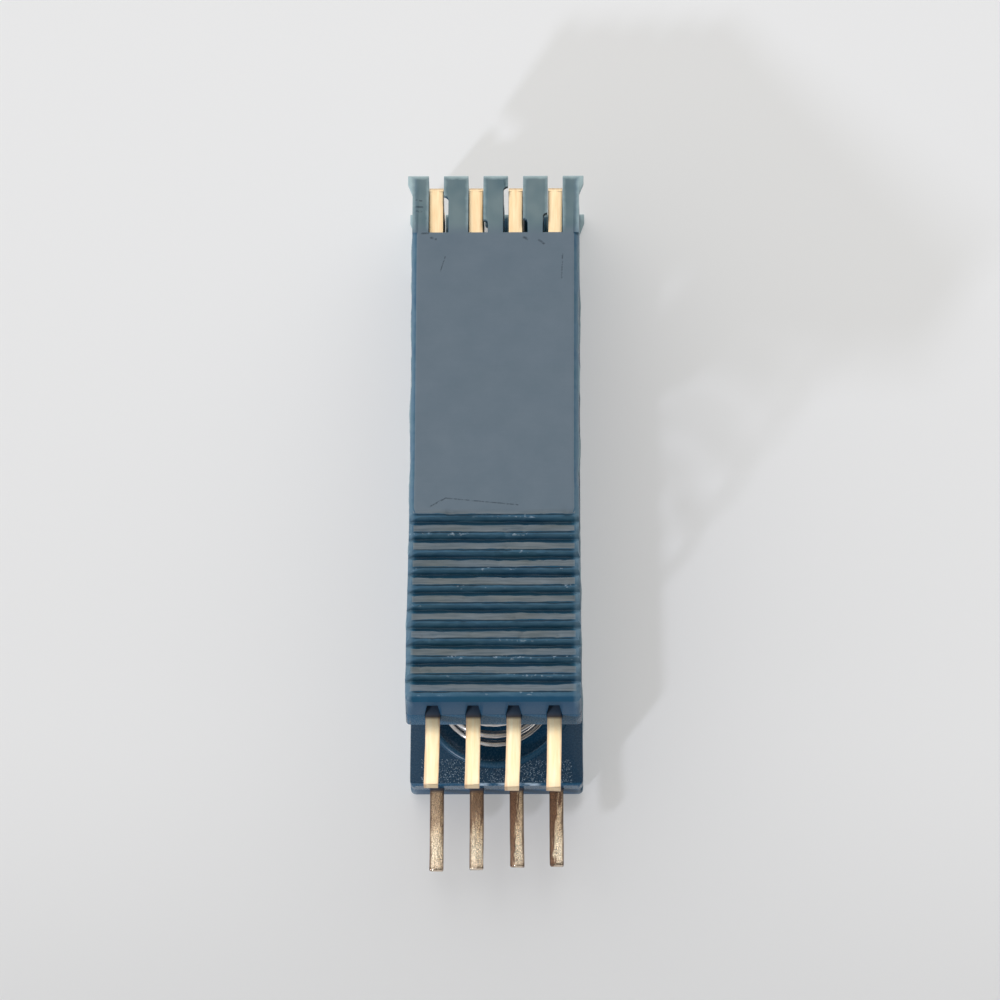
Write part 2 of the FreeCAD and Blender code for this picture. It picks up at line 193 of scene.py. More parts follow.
# Scratches on the outer face: start, end and half width, seen from outside with the jaw up
SCRATCHES = (
    ((-4.1, -5.4), (-3.05, -4.75), 0.03), ((-3.05, -4.75), (1.5, -5.25), 0.025),
    ((4.25, 11.4), (4.3, 13.2), 0.025), ((-3.5, 11.9), (-3.2, 13.0), 0.02),
    ((-4.75, 14.72), (-4.3, 14.74), 0.04), ((-4.1, 14.4), (-3.8, 14.3), 0.05),
    ((1.85, 14.4), (2.05, 14.3), 0.06), ((2.8, 14.2), (3.1, 13.95), 0.05),
    ((-5.1, 17.25), (-4.75, 17.2), 0.035), ((-5.15, 16.75), (-4.7, 16.72), 0.045),
    ((-5.05, 16.42), (-4.75, 16.38), 0.04),
)

# Colours of the finishes, and of the light and shade painted on them
PAINT = {
    "deep cool": (0.006, 0.062, 0.142, 1),
    "deep warm": (0.01, 0.084, 0.132, 1),
    "deep cloud": (0.011, 0.088, 0.165, 1),
    "rib foot": (0.003, 0.018, 0.034, 1),
    "end face": (0.003, 0.066, 0.15, 1),
    "rubbed cool dark": (0.092, 0.139, 0.184, 1),
    "rubbed cool light": (0.166, 0.211, 0.26, 1),
    "rubbed warm dark": (0.09, 0.113, 0.12, 1),
    "rubbed warm light": (0.158, 0.178, 0.182, 1),
    "comb dark": (0.09, 0.157, 0.188, 1),
    "comb light": (0.164, 0.23, 0.25, 1),
    "lit_scuff": (0.09, 0.195, 0.28, 1),
    "crest_line": (0.012, 0.026, 0.038, 1),
    "scratch": (0.02, 0.036, 0.052, 1),
    "side scuff": (0.17, 0.27, 0.35, 1),
    "thin lit edge": (0.4, 0.53, 0.56, 1),
    "glint": (0.42, 0.54, 0.64, 1),
    "plate dark": (0.004, 0.036, 0.08, 1),
    "plate light": (0.008, 0.056, 0.112, 1),
    "plate bead highlight": (0.016, 0.078, 0.142, 1),
    "plate end": (0.006, 0.088, 0.18, 1),
    "plate chip glint": (0.46, 0.6, 0.72, 1),
    "gold deep": (0.94, 0.72, 0.41, 1),
    "gold bright": (0.99, 0.89, 0.64, 1),
    "beaten tip highlight": (0.97, 0.85, 0.71, 1),
    "beaten root mirrored shade": (0.74, 0.55, 0.41, 1),
    "head deep": (0.74, 0.49, 0.27, 1),
    "head bright": (0.88, 0.7, 0.46, 1),
    "pin tip": (0.62, 0.4, 0.3, 1),
    "brown deep": (0.07, 0.034, 0.025, 1),
    "brown light": (0.32, 0.16, 0.1, 1),
    "pit": (0.34, 0.2, 0.13, 1),
    "sound rim": (0.6, 0.32, 0.19, 1),
    "beaten rim": (0.12, 0.065, 0.045, 1),
    "root shade": (0.07, 0.05, 0.05, 1),
    "root shade blue": (0.078, 0.14, 0.235, 1),
    "wire dark": (0.56, 0.54, 0.53, 1),
    "wire bright": (0.78, 0.77, 0.76, 1),
    "wire stain": (0.36, 0.29, 0.25, 1),
    "ground dark": (0.48, 0.48, 0.5, 1),
    "ground bright": (0.62, 0.62, 0.63, 1),
    "black": (0, 0, 0, 1),
}

# Clouds in the finishes: waves per millimetre, detail, roughness and shift
CLOUD = {
    "ragged scratch": (6.0, 2.0, 0.55, 0.0),
    "rib sway": ((0.9, 2.6, 0.0), 3.0, 0.55, 0.0),
    "scuff patches": ((0.8, 4.0, 4.0), 5.0, 0.65, 3.0),
    "glint specks": ((3.2, 6.0, 6.0), 2.0, 0.5, 9.0),
    "glint clusters": ((0.4, 0.6, 0.6), 1.0, 0.5, 4.0),
    "rim wobble": (2.2, 3.0, 0.5, 5.0),
    "side wobble": (1.1, 3.0, 0.6, 8.0),
    "blue cloud": (0.45, 3.0, 0.55, 0.0),
    "blue grain": (11.0, 2.0, 0.55, 0.0),
    "rib strokes": ((0.45, 7.0, 7.0), 4.0, 0.6, 1.0),
    "tint patches": ((0.25, 0.9, 0.9), 2.0, 0.5, 6.0),
    "comb blotches": ((0.7, 0.5, 0.6), 1.0, 0.5, 2.5),
    "plate cloud": (0.6, 3.0, 0.55, 0.0),
    "plate grain": (9.0, 3.0, 0.55, 0.0),
    "plate chips": ((1.6, 5.0, 5.0), 3.0, 0.5, 4.0),
    "beaten waves": ((2.6, 0.7, 1.2), 3.0, 0.6, 0.0),
    "gold specks": ((13.0, 9.0, 11.0), 2.0, 0.6, 0.0),
    "gold brushing": ((4.5, 0.3, 2.0), 3.0, 0.65, 2.0),
    "tarnish streaks": ((2.4, 0.35, 1.3), 4.0, 0.65, 7.0),
    "wire drawing": (3.0, 2.0, 0.55, 0.0),
    "wire stains": (0.7, 3.0, 0.55, 0.0),
    "grinding": ((12.0, 2.0, 2.0), 2.0, 0.55, 0.0),
    "bench mottle": (0.02, 3.0, 0.55, 0.0),
}


def half_turn():
    """Turn that swaps the two halves: points of the front half go to their places in the rear half."""
    along = Vector((0, math.cos(WEDGE / 2), -math.sin(WEDGE / 2)))
    turn = Matrix.Rotation(math.pi, 4, along)
    return Matrix.Translation(HINGE) @ turn @ Matrix.Translation(-HINGE)


HALVES = {"rear": Matrix.Identity(4), "front": half_turn()}


def add_node(tree, kind, inputs=None, **settings):
    """New node with its settings, and its inputs set or linked."""
    node = tree.nodes.new(kind)
    for name, value in settings.items():
        setattr(node, name, value)
    set_inputs(tree, node, inputs or {})
    return node


def set_inputs(tree, node, inputs):
    """Sets or links a node's inputs by name or place."""
    for name, value in inputs.items():
        if isinstance(value, bpy.types.NodeSocket):
            tree.links.new(value, node.inputs[name])
        else:
            node.inputs[name].default_value = value


def maths(tree, operation, *values):
    """Math node's result."""
    return add_node(tree, "ShaderNodeMath", dict(enumerate(values)), operation=operation).outputs[0]


def times(tree, first, *others):
    """Product of two values or more."""
    product = first
    for value in others:
        product = maths(tree, "MULTIPLY", product, value)
    return product


def vectors(tree, operation, *values):
    """Vector math node's vector result."""
    inputs = dict(enumerate(values))
    return add_node(tree, "ShaderNodeVectorMath", inputs, operation=operation).outputs[0]


def measure(tree, operation, *values):
    """Vector math node's single value."""
    inputs = dict(enumerate(values))
    return add_node(tree, "ShaderNodeVectorMath", inputs, operation=operation).outputs["Value"]


def mix_colour(tree, factor, first, second):
    """Colour between two colours, each the name of a paint or a socket."""
    first, second = (PAINT[one] if isinstance(one, str) else one for one in (first, second))
    node = add_node(tree, "ShaderNodeMix", {0: factor, 6: first, 7: second}, data_type="RGBA")
    return node.outputs[2]


def coat(tree, colour, cover, strength, paint):
    """Colour with a paint laid over it, at a strength, where its cover is 1."""
    return mix_colour(tree, times(tree, cover, strength), colour, paint)


def ramp(tree, value, low, high, bottom=0.0, top=1.0, smooth=False):
    """Value stretched so that low becomes bottom and high becomes top."""
    kind = "SMOOTHSTEP" if smooth else "LINEAR"
    inputs = {"Value": value, "From Min": low, "From Max": high, "To Min": bottom, "To Max": top}
    return add_node(tree, "ShaderNodeMapRange", inputs, interpolation_type=kind).outputs[0]


def band(tree, value, centre, half, soft):
    """1 within half a width of a centre, falling to 0 over a soft edge."""
    off = maths(tree, "ABSOLUTE", maths(tree, "SUBTRACT", value, centre))
    return ramp(tree, off, half, half + soft, 1.0, 0.0)


def noise(tree, place, name):
    """Cloudy value from the list of clouds."""
    scale, detail, rough, shift = CLOUD[name]
    stretch = scale if isinstance(scale, tuple) else (scale, scale, scale)
    moved = vectors(tree, "MULTIPLY_ADD", place, stretch, (shift, shift * 1.7, shift * 0.6))
    inputs = {"Vector": moved, "Scale": 1.0, "Detail": detail, "Roughness": rough}
    return add_node(tree, "ShaderNodeTexNoise", inputs).outputs["Fac"]


def wobble(tree, place, name, size):
    """Cloud that swings to both sides of 0, by a size from end to end."""
    return maths(tree, "MULTIPLY_ADD", noise(tree, place, name), size, -size / 2)


def bumped(tree, height, distance):
    """Surface normal pressed by a height, at a depth in metres."""
    return add_node(tree, "ShaderNodeBump", {"Height": height, "Distance": distance}).outputs[0]


def own_place(tree):
    """Place in the half's own frame, whole and split, in millimetres."""
    place = add_node(tree, "ShaderNodeAttribute", attribute_name="place").outputs["Vector"]
    x, y, z = add_node(tree, "ShaderNodeSeparateXYZ", {0: place}).outputs
    return place, x, y, z


def object_place(tree):
    """Place in the frame, in millimetres."""
    place = add_node(tree, "ShaderNodeTexCoord").outputs["Object"]
    return vectors(tree, "MULTIPLY", place, (1 / MM, 1 / MM, 1 / MM))


def mark(tree, name):
    """Value of one of the piece's own attributes."""
    return add_node(tree, "ShaderNodeAttribute", attribute_name=name).outputs["Fac"]


def new_material(name):
    """Empty material with a surface shader ready for its inputs."""
    material = bpy.data.materials.new(name)
    material.use_nodes = True
    tree = material.node_tree
    tree.nodes.clear()
    shader = add_node(tree, "ShaderNodeBsdfPrincipled")
    add_node(tree, "ShaderNodeOutputMaterial", {"Surface": shader.outputs[0]})
    return material, tree, shader


def scratch_mask(tree, place, z):
    """1 along the scratches of the outer face, with ragged edges."""
    total = 0.0
    for (x0, y0), (x1, y1), half in SCRATCHES:
        span = Vector((x0 - x1, y1 - y0, 0))
        reach = vectors(tree, "SUBTRACT", place, (-x0, y0, 0.0))
        share = measure(tree, "DOT_PRODUCT", reach, span / span.length_squared)
        share = add_node(tree, "ShaderNodeClamp", {0: share}).outputs[0]
        near = add_node(tree, "ShaderNodeVectorMath", {0: span, "Scale": share}, operation="SCALE")
        flat = vectors(tree, "SUBTRACT", reach, near.outputs[0])
        flat = vectors(tree, "MULTIPLY", flat, (1, 1, 0))
        line = ramp(tree, measure(tree, "LENGTH", flat), half * 0.4, half * 2.2, 1.0, 0.0)
        total = maths(tree, "MAXIMUM", total, line)
    outer = ramp(tree, z, 0.15, 0.3, 1.0, 0.0)
    ragged = ramp(tree, noise(tree, place, "ragged scratch"), 0.38, 0.55)
    return times(tree, total, outer, ragged)


def rib_masks(tree, place, x, y, z):
    """Along the grip ribs: a dark line under each crest, a painted sunlit band on the wall below that is
    partly wear, painted shade at the bottom of each groove, and painted glints.
    """
    count = maths(tree, "DIVIDE", maths(tree, "SUBTRACT", y, FIRST_RIB_Y), RIB_PITCH)
    sway = wobble(tree, place, "rib sway", 0.07)
    phase = maths(tree, "FRACT", maths(tree, "ADD", count, sway))
    ribbed = ramp(tree, y, LAST_GROOVE_Y + 0.35, LAST_GROOVE_Y + 0.6, 1.0, 0.0)
    outer = ramp(tree, z, GROOVE_DEPTH + 0.05, GROOVE_DEPTH + 0.2, 1.0, 0.0)
    zone = times(tree, ribbed, outer)
    inside = ramp(tree, maths(tree, "ABSOLUTE", x), SIDE - 0.5, SIDE - 0.2, 1.0, 0.0)
    crest_line = times(tree, band(tree, phase, *RIB_CREST_LINE), zone, inside)
    patchy = ramp(tree, noise(tree, place, "scuff patches"), 0.3, 0.62, 0.45, 1.0)
    scuffs = times(tree, band(tree, phase, *RIB_LIT_SCUFFS), zone, patchy)
    past_end = ramp(tree, y, END_Y + 0.5, END_Y + 0.6)
    foot_shade = times(tree, band(tree, phase, *RIB_FOOT_SHADE), zone, inside, past_end)
    specks = ramp(tree, noise(tree, place, "glint specks"), 0.58, 0.68)
    clusters = ramp(tree, noise(tree, place, "glint clusters"), 0.54, 0.6)
    glints = times(tree, band(tree, phase, *RIB_GLINTS), zone, specks, clusters)
    return crest_line, scuffs, foot_shade, glints


def finger_rims(tree, place, x, y, z):
    """Pale rims along the comb's slots, sides and tips, where the moulding is thin: partly thin flash,
    partly painted light shining through the thin plastic.
    """
    swing = wobble(tree, place, "rim wobble", 0.24)
    wall = LEAD_PITCH / 2 - SLOT_HALF
    across = maths(tree, "ADD", maths(tree, "PINGPONG", x, LEAD_PITCH / 2), swing)
    slot = times(tree, ramp(tree, across, wall - 0.22, wall + 0.02), 0.6)
    outward = maths(tree, "ADD", maths(tree, "ABSOLUTE", x), swing)
    side = ramp(tree, outward, SIDE - 0.2, SIDE + 0.1)
    tip = ramp(tree, maths(tree, "ADD", y, swing), TIP_Y - 0.3, TIP_Y - 0.05)
    rims = maths(tree, "MAXIMUM", slot, maths(tree, "MAXIMUM", side, tip))
    outer = ramp(tree, z, 0.4, 1.6, 1.0, 0.25)
    return times(tree, rims, outer, ramp(tree, y, SLOT_Y - 0.1, SLOT_Y + 0.9))


def side_rims(tree, place, x, z):
    """Paler strips along the round edges of the two long sides: partly wear, partly a painted sheen
    where the rounding mirrors the bright room.
    """
    swing = wobble(tree, place, "side wobble", 0.3)
    outward = maths(tree, "ADD", maths(tree, "ABSOLUTE", x), swing)
    outer = ramp(tree, z, 0.7, 1.4, 1.0, 0.35)
    return times(tree, ramp(tree, outward, SIDE - 0.34, SIDE - 0.12), 0.5, outer)


def rubbed_flats(tree, place, y, cloud, strokes, tint, grip):
    """Colour of the worn outer flats, partly a painted sheen: strokes along the ribs, and blotches on
    the comb.
    """
    shade = ramp(tree, cloud, 0.25, 0.75, 0.35, 0.65)
    shade = maths(tree, "MULTIPLY_ADD", strokes, 3.4, shade)
    cool = mix_colour(tree, shade, "rubbed cool dark", "rubbed cool light")
    warm = mix_colour(tree, shade, "rubbed warm dark", "rubbed warm light")
    warmth = times(tree, maths(tree, "MULTIPLY_ADD", tint, 0.65, 0.3), grip)
    flats = mix_colour(tree, warmth, cool, warm)
    blotch = ramp(tree, noise(tree, place, "comb blotches"), 0.3, 0.7)
    fingers = mix_colour(tree, blotch, "comb dark", "comb light")
    return mix_colour(tree, ramp(tree, y, SLOT_Y - 0.2, SLOT_Y + 0.8), flats, fingers)


def moulded_blue():
    """Satin moulded plastic in deep blue: grey on its outer flats, partly wear and partly painted sheen;
    pale where it is thin, partly painted light shining through.
    """
    material, tree, shader = new_material("moulded_blue")
    place, x, y, z = own_place(tree)
    rubbed_sheen = mark(tree, "rubbed_sheen")
    cloud = noise(tree, place, "blue cloud")
    grain = noise(tree, place, "blue grain")
    tint = ramp(tree, noise(tree, place, "tint patches"), 0.35, 0.65)
    grip = ramp(tree, y, LAST_GROOVE_Y + 0.3, LAST_GROOVE_Y + 0.8, 1.0, 0.03)
    strokes = maths(tree, "SUBTRACT", noise(tree, place, "rib strokes"), 0.5)
    strokes = times(tree, strokes, grip)
    crest_line, scuffs, foot_shade, glints = rib_masks(tree, place, x, y, z)
    scratches = scratch_mask(tree, place, z)
    end = ramp(tree, y, END_Y + 0.02, END_Y + 0.1, 1.0, 0.0)
    end = times(tree, end, ramp(tree, z, 0.45, 0.6))
    sheen_and_wear = rubbed_flats(tree, place, y, cloud, strokes, tint, grip)
    thin = times(tree, finger_rims(tree, place, x, y, z), 0.95)
    thin = maths(tree, "MAXIMUM", thin, mark(tree, "pale"))

    colour = mix_colour(tree, tint, "deep cool", "deep warm")
    colour = mix_colour(tree, cloud, colour, "deep cloud")
    # painted shade at the bottom of each groove
    colour = coat(tree, colour, foot_shade, 0.7, "rib foot")
    # painted shading: the end face in its own even blue, for how the light falls on it
    colour = coat(tree, colour, end, 0.9, "end face")
    # grey of the outer flats: partly wear, partly a painted sheen of the bright room
    colour = coat(tree, colour, rubbed_sheen, 0.95, sheen_and_wear)
    # painted light on the sunlit upper part of each groove's wall, partly wear
    colour = coat(tree, colour, scuffs, 0.8, "lit_scuff")
    # dark line just under each crest
    colour = coat(tree, colour, crest_line, 0.8, "crest_line")
    colour = coat(tree, colour, scratches, 0.75, "scratch")
    # painted sheen, partly wear, along the round edges of the long sides
    colour = mix_colour(tree, side_rims(tree, place, x, z), colour, "side scuff")
    # pale thin edges: partly thin flash, partly painted light shining through
    colour = mix_colour(tree, thin, colour, "thin lit edge")
    # painted glints along the ribs' walls
    colour = coat(tree, colour, glints, 0.75, "glint")

    rough = maths(tree, "MULTIPLY_ADD", grain, 0.25, 0.26)
    height = maths(tree, "MULTIPLY_ADD", scratches, -3.0, grain)
    height = maths(tree, "MULTIPLY_ADD", strokes, 0.6, height)
    set_inputs(tree, shader, {
        "Base Color": colour,
        "Roughness": maths(tree, "MULTIPLY_ADD", rubbed_sheen, 0.1, rough),
        "Specular IOR Level": 0.3,
        "Normal": bumped(tree, height, BLUE_RELIEF)})
    return material


def dark_plate():
    """Inner moulding's plastic: the shell's blue painted darker as shade for faces under the other half,
    and shinier; with painted shading on its end face, a painted highlight along the end edge in patches,
    and a painted highlight on the seat's bead.
    """
    material, tree, shader = new_material("dark_plate")
    place, x, y, z = own_place(tree)
    grain = noise(tree, place, "plate grain")
    reach = vectors(tree, "SUBTRACT", place, (0, SEAT_Y, 0))
    reach = measure(tree, "LENGTH", vectors(tree, "MULTIPLY", reach, (1, 1, 0)))
    bead = band(tree, reach, BEAD_OUTSIDE - 0.2, 0.16, 0.1)
    end = ramp(tree, y, END_Y + 0.1, END_Y + 0.2, 1.0, 0.0)
    top = ramp(tree, z, HALF_THICKNESS - 0.2, HALF_THICKNESS - 0.1)
    middle = band(tree, x, 0.75, 1.7, 0.6)
    chips = ramp(tree, noise(tree, place, "plate chips"), 0.4, 0.6)
    pale = maths(tree, "MAXIMUM", times(tree, end, top, middle, chips), mark(tree, "pale"))

    # painted shade: the plate darker than the shell's same blue
    colour = mix_colour(tree, noise(tree, place, "plate cloud"), "plate dark", "plate light")
    # painted highlight: a lighter ring on the bead round the spring seat
    colour = coat(tree, colour, bead, 0.75, "plate bead highlight")
    # painted shading: the plate's end face in a lighter blue than its inner face
    colour = coat(tree, colour, end, 0.9, "plate end")
    # painted highlight along the middle of the end edge, in patches, and painted glints on some grains
    colour = mix_colour(tree, pale, colour, "plate chip glint")
    set_inputs(tree, shader, {
        "Base Color": colour,
        "Roughness": maths(tree, "MULTIPLY_ADD", grain, 0.16, 0.19),
        "Normal": bumped(tree, grain, PLATE_RELIEF)})
    return material


def browning(tree, place, x, y, outside):
    """Painted reflection of the front pins' shaded undersides on the rear pins: brown streaks, more
    towards the roots, and on the left of the brownest ones.
    """
    mirrored_brown = mark(tree, "mirrored_brown")
    left = maths(tree, "SUBTRACT", 0.5, maths(tree, "FRACT", maths(tree, "DIVIDE", x, LEAD_PITCH)))
    left = times(tree, left, ramp(tree, mirrored_brown, 0.62, 0.75, 0.0, 1.5))
    level = ramp(tree, y, END_Y - 4.2, END_Y - 1.2, 0.62, 0.36)
    streaks = maths(tree, "SUBTRACT", noise(tree, place, "tarnish streaks"), level)
    brown = ramp(tree, maths(tree, "ADD", left, streaks), -0.03, 0.05)
    return times(tree, brown, outside, ramp(tree, mirrored_brown, 0.2, 0.7, 0.0, 0.92))


def pin_rims(tree, x, wave, beaten, outside):
    """Darker, browner strips along both edges of each pin."""
    off = maths(tree, "SUBTRACT", LEAD_PITCH / 2, maths(tree, "PINGPONG", x, LEAD_PITCH / 2))
    off = maths(tree, "MULTIPLY_ADD", wave, 0.24, maths(tree, "SUBTRACT", off, 0.12))
    strength = ramp(tree, beaten, LEAST_BEATEN, 1.0, 0.5, 0.85)
    return times(tree, ramp(tree, off, 0.3, 0.42), strength, outside)


def plated_gold():
    """Gold plate on stamped sheet: satin where sound, hammered on the rear pins and browned there by
    painted reflection, with painted shade where the blades enter the body.
    """
    material, tree, shader = new_material("plated_gold")
    place, x, y = own_place(tree)[:3]
    outside = ramp(tree, y, END_Y + 0.2, END_Y + 0.4, 1.0, 0.0)
    beaten = times(tree, mark(tree, "hammered"), outside)
    beaten = ramp(tree, beaten, 0.0, 1.0, LEAST_BEATEN, 1.0)
    sound = ramp(tree, beaten, LEAST_BEATEN, 1.0, 1.0, 0.0)
    wave = noise(tree, place, "beaten waves")
    speck = noise(tree, place, "gold specks")
    pits = times(tree, ramp(tree, speck, 0.36, 0.5, 1.0, 0.0), beaten)
    brushed = ramp(tree, noise(tree, place, "gold brushing"), 0.3, 0.7)
    head = ramp(tree, y, SLOT_Y - 1.0, SLOT_Y, 0.0, 0.8)
    tip = ramp(tree, y, END_Y - 4.5, END_Y - 5.0, 0.0, 0.3)
    # painted shade on the blades where they run into the end face and the body, where little light
    # reaches; the metal is made matt there so the paint shows
    root = ramp(tree, y, END_Y - 0.34, END_Y - 0.14)
    root = times(tree, root, ramp(tree, y, END_Y + 3.0, END_Y + 2.5))
    heads = mix_colour(tree, brushed, "head deep", "head bright")
    # painted reflection on the hammered pins: lighter towards the tips, darker towards the roots
    dull = mix_colour(tree, ramp(tree, y, END_Y - 3.8, END_Y - 2.4), "beaten tip highlight", "beaten root mirrored shade")
    brown_tone = mix_colour(tree, wave, "brown deep", "brown light")
    rim = mix_colour(tree, beaten, "sound rim", "beaten rim")
    root_shade_paint = mix_colour(tree, ramp(tree, y, END_Y - 0.2, END_Y + 0.15), "root shade", "root shade blue")

    colour = mix_colour(tree, brushed, "gold deep", "gold bright")
    colour = coat(tree, colour, beaten, 0.65, dull)
    colour = mix_colour(tree, head, colour, heads)
    colour = mix_colour(tree, tip, colour, "pin tip")
    # painted reflection: brown where the rear pins mirror the front pins' shaded undersides
    colour = mix_colour(tree, browning(tree, place, x, y, outside), colour, brown_tone)
    colour = coat(tree, colour, pits, 0.5, "pit")
    colour = mix_colour(tree, pin_rims(tree, x, wave, beaten, outside), colour, rim)
    colour = coat(tree, colour, root, 0.95, root_shade_paint)

    matt = times(tree, ramp(tree, y, END_Y - 1.4, END_Y - 0.5, 0.0, 0.9), sound, outside)
    matt = maths(tree, "MAXIMUM", root, matt)
    rough = ramp(tree, beaten, 0.0, 1.0, 0.3, 0.05)
    height = times(tree, maths(tree, "MULTIPLY_ADD", wave, 4.0, speck), beaten)
    set_inputs(tree, shader, {
        "Base Color": colour,
        "Metallic": maths(tree, "MULTIPLY_ADD", matt, -0.95, 1.0),
        "Roughness": maths(tree, "MULTIPLY_ADD", speck, 0.14, rough),
        "Normal": bumped(tree, height, GOLD_RELIEF)})
    return material


def bright_wire():
    """Drawn steel wire of the spring."""
    material, tree, shader = new_material("bright_wire")
    place = object_place(tree)
    drawn = noise(tree, place, "wire drawing")
    brown_tone = ramp(tree, noise(tree, place, "wire stains"), 0.45, 0.7)
    colour = mix_colour(tree, drawn, "wire dark", "wire bright")
    set_inputs(tree, shader, {
        "Base Color": coat(tree, colour, brown_tone, 0.5, "wire stain"),
        "Metallic": 1.0,
        "Roughness": maths(tree, "MULTIPLY_ADD", drawn, 0.2, 0.1)})
    return material


def ground_steel():
    """Ground steel of the hinge pin."""
    material, tree, shader = new_material("ground_steel")
    ground = noise(tree, object_place(tree), "grinding")
    set_inputs(tree, shader, {
        "Base Color": mix_colour(tree, ground, "ground dark", "ground bright"),
        "Metallic": 1.0,
        "Roughness": maths(tree, "MULTIPLY_ADD", ground, 0.3, 0.15),
        "Normal": bumped(tree, ground, GROUND_RELIEF)})
    return material


def bench_top():
    """Pale bench top with a faint mottle, glowing a little as painted light to thin the contact shadows,
    and painted darker towards the grip as a falloff of the room's light.
    """
    material, tree, shader = new_material("bench_top")
    place = object_place(tree)
    y = add_node(tree, "ShaderNodeSeparateXYZ", {0: place}).outputs[1]
    # painted falloff of the room's light: darker towards the grip
    near = ramp(tree, y, -42.0, -12.0, 0.0, 0.13, smooth=True)
    level = maths(tree, "ADD", near, ramp(tree, y, -10.0, 30.0, 0.82, 0.865))
    level = maths(tree, "MULTIPLY_ADD", noise(tree, place, "bench mottle"), 0.02, level)
    blue = times(tree, level, 1.002)
    tint = add_node(tree, "ShaderNodeCombineColor", {0: level, 1: level, 2: blue}).outputs[0]
    set_inputs(tree, shader, {
        "Base Color": mix_colour(tree, 0.6, "black", tint),
        "Roughness": 0.7,
        "Emission Color": tint,
        "Emission Strength": BENCH_GLOW})
    return material


def finished_mesh(piece):
    """The piece's mesh with its modifiers taken in."""
    depsgraph = bpy.context.evaluated_depsgraph_get()
    mesh = bpy.data.meshes.new_from_object(piece.evaluated_get(depsgraph))
    piece.modifiers.clear()
    piece.data = mesh
    mesh.name = piece.name
    return mesh


def link_piece(name, mesh):
    """New object at the origin."""
    piece = bpy.data.objects.new(name, mesh)
    bpy.context.scene.collection.objects.link(piece)
    return piece


def eased_form(node, edge, keep_sharp=None):
    """Working copy of a construction solid's surface with its sharp edges broken."""
    work = bmesh.new()
    work.from_mesh(frame["nodes"][node].data)
    bmesh.ops.remove_doubles(work, verts=work.verts, dist=1e-6)
    bmesh.ops.dissolve_limit(work, angle_limit=FLAT_ANGLE, verts=work.verts, edges=work.edges)
    breaks = []
    for line in work.edges:
        if len(line.link_faces) != 2 or line.calc_face_angle(0) < SHARP_ANGLE:
            continue
        if line.calc_length() < 4 * edge:
            continue
        if keep_sharp and any(keep_sharp(corner.co) for corner in line.verts):
            continue
        breaks.append(line)
    bmesh.ops.bevel(work, geom=breaks, offset=edge, segments=2, profile=0.5, affect="EDGES",
                    clamp_overlap=False)
    return work


def cut_across(work, direction, places):
    """Cuts the surface along planes, so that its lines can wander between them."""
    for place in places:
        parts = work.verts[:] + work.edges[:] + work.faces[:]
        bmesh.ops.bisect_plane(work, geom=parts, dist=1e-7, plane_co=direction * place,
                               plane_no=direction)


def steps(low, high, step):
    """Even places from low to high."""
    count = int(round((high - low) / step))
    return [low + (high - low) * index / count for index in range(count + 1)]


def ripple(own, wave):
    """Cloudy shift at a place in a half's own frame."""
    size, across, along, level = wave
    return size * cloud_at(Vector((own.x * across, own.y * along, level)))


def wear_shell(work, to_own):
    """Lets the rib edges and long sides of a shell wander a little, and nicks them here and there."""
    back = to_own.inverted()
    for corner in work.verts:
        own = to_own @ corner.co / MM
        shift = Vector((0, 0, 0))
        if END_Y + 0.2 < own.y < LAST_GROOVE_Y + 0.45 and own.z < GROOVE_DEPTH + 0.02:
            shift.y += ripple(own, RIB_WANDER)
            shift.y += ripple(own, RIB_FINE_WANDER)
            shift.z += ripple(own, RIB_RISE)
            nick = ripple(own, RIB_NICKS)
            if own.z < 0.15 and nick > NICK_LEVEL:
                shift.z += min(NICK_DEPTH, (nick - NICK_LEVEL) * NICK_STEEPNESS)
        if abs(own.x) > SIDE - 0.12 and own.z < 1.0 and own.y < SLOT_Y:
            side = math.copysign(1, own.x)
            shift.x += side * sum(size * cloud_at(Vector((side * place, own.y * along, own.z)))
                                  for size, place, along in SIDE_WANDER)
        if shift.length:
            own += shift
            own.z = max(own.z, 0.0)
            corner.co = back @ (own * MM)


def wear_pin(work, to_own, wear):
    """Shears a pin to its own length with a ragged end, and leans it."""
    back = to_own.inverted()
    extra, lean, sag = wear[:3]
    turned = -1 if to_own != HALVES["rear"] else 1
    pin_end = min((to_own @ corner.co).y for corner in work.verts) / MM
    for corner in work.verts:
        own = to_own @ corner.co / MM
        share = min(1.0, max(0.0, (END_Y - own.y) / (END_Y - pin_end)))
        if share > 0:
            own.x += turned * lean * share ** 2
            own.x += PIN_SWAY * share * cloud_at(Vector((own.x * 2, own.y * 0.9, own.z)))
            own.z += PIN_RIPPLE * share * cloud_at(Vector((own.x * 1.1, own.y * 0.8, 4.5)))
            own.z -= 4 * sag * share * (1 - share)
            own.y -= extra * share
            if share > 0.95:
                own.y += RAGGED_END * cloud_at(Vector((own.x * 3.1, own.z * 3.1, 8.5)))
            corner.co = back @ (own * MM)


def settle(work, name, to_own):
    """Turns a working copy into a piece whose points know their place in their half."""
    mesh = bpy.data.meshes.new(name)
    work.to_mesh(mesh)
    work.free()
    mark_places(mesh, to_own)
    mesh.polygons.foreach_set("use_smooth", [True] * len(mesh.polygons))
    mesh.set_sharp_from_angle(angle=SHARP_ANGLE)
    return link_piece(name, mesh)


def mark_places(mesh, to_own):
    """Keeps each point's place in its half's own frame, in millimetres."""
    places = mesh.attributes.new("place", "FLOAT_VECTOR", "POINT")
    for corner, place in zip(mesh.vertices, places.data):
        place.vector = to_own @ corner.co / MM


def mark_all(mesh, name, value):
    """Gives every point of a mesh the same value of an attribute."""
    marks = mesh.attributes.new(name, "FLOAT", "POINT")
    marks.data.foreach_set("value", [value] * len(mesh.vertices))


